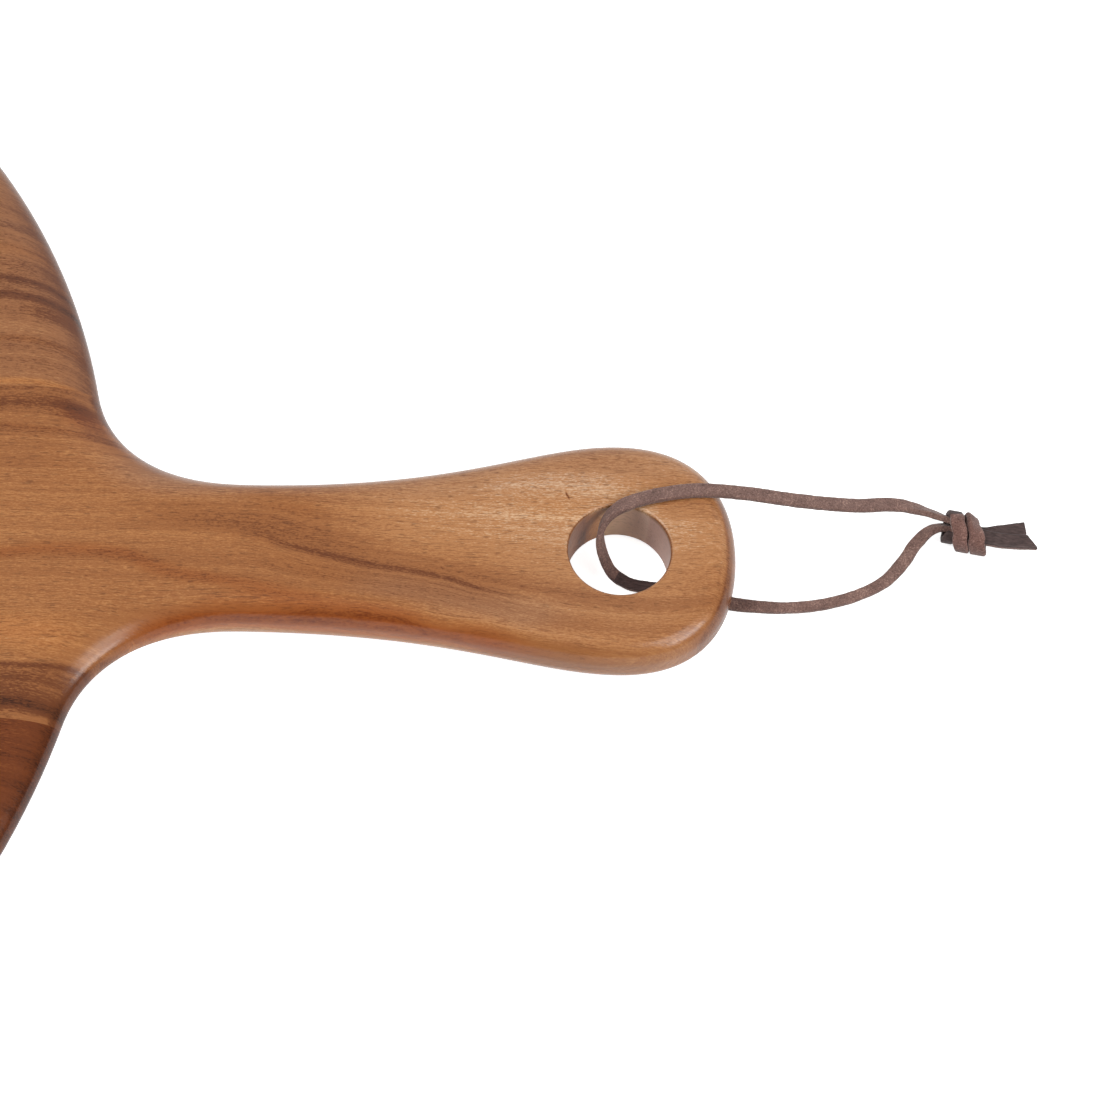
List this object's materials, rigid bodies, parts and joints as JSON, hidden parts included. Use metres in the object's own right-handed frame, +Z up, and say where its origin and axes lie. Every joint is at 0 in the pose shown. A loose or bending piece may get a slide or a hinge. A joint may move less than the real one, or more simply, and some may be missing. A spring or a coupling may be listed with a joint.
{
  "type": "round serving board",
  "caption": "Round edge-glued acacia serving board with rounded-over edges, a waisted handle that flares to a round end, a hanging hole and a knotted leather thong threaded through it.",
  "frame": {"origin": "centre of the wooden board's bounding box, on the table that it lies on; the thong is left out", "axes": "+X along the handle from the plate to the handle's end, +Y across the board, +Z up from the table"},
  "size_m": [0.6408, 0.4098, 0.0192],
  "materials": {
    "acacia_handle": "satin lacquer over golden acacia with dark streaks",
    "acacia_light": "satin lacquer over golden brown acacia",
    "acacia_dark": "satin lacquer over dark red-brown acacia",
    "leather": "taupe leather, suede on one side and smooth on the other"
  },
  "bodies": {
    "board": {"centre_stave": "acacia_handle", "far_inner_stave": "acacia_light", "near_inner_stave": "acacia_dark", "far_outer_stave": "acacia_dark", "near_outer_stave": "acacia_light"},
    "thong": {"thong_loop": "leather", "thong_knot": "leather", "thong_far_tail": "leather", "thong_near_tail": "leather"}
  },
  "joints": [
    {"name": "thong_swivel", "type": "hinge", "parent": "board", "child": "thong", "pos_m": [0.25362, 0, 0.00955], "axis": [-0.0039, 0, 1], "range_deg": [-90, 90]}
  ]
}
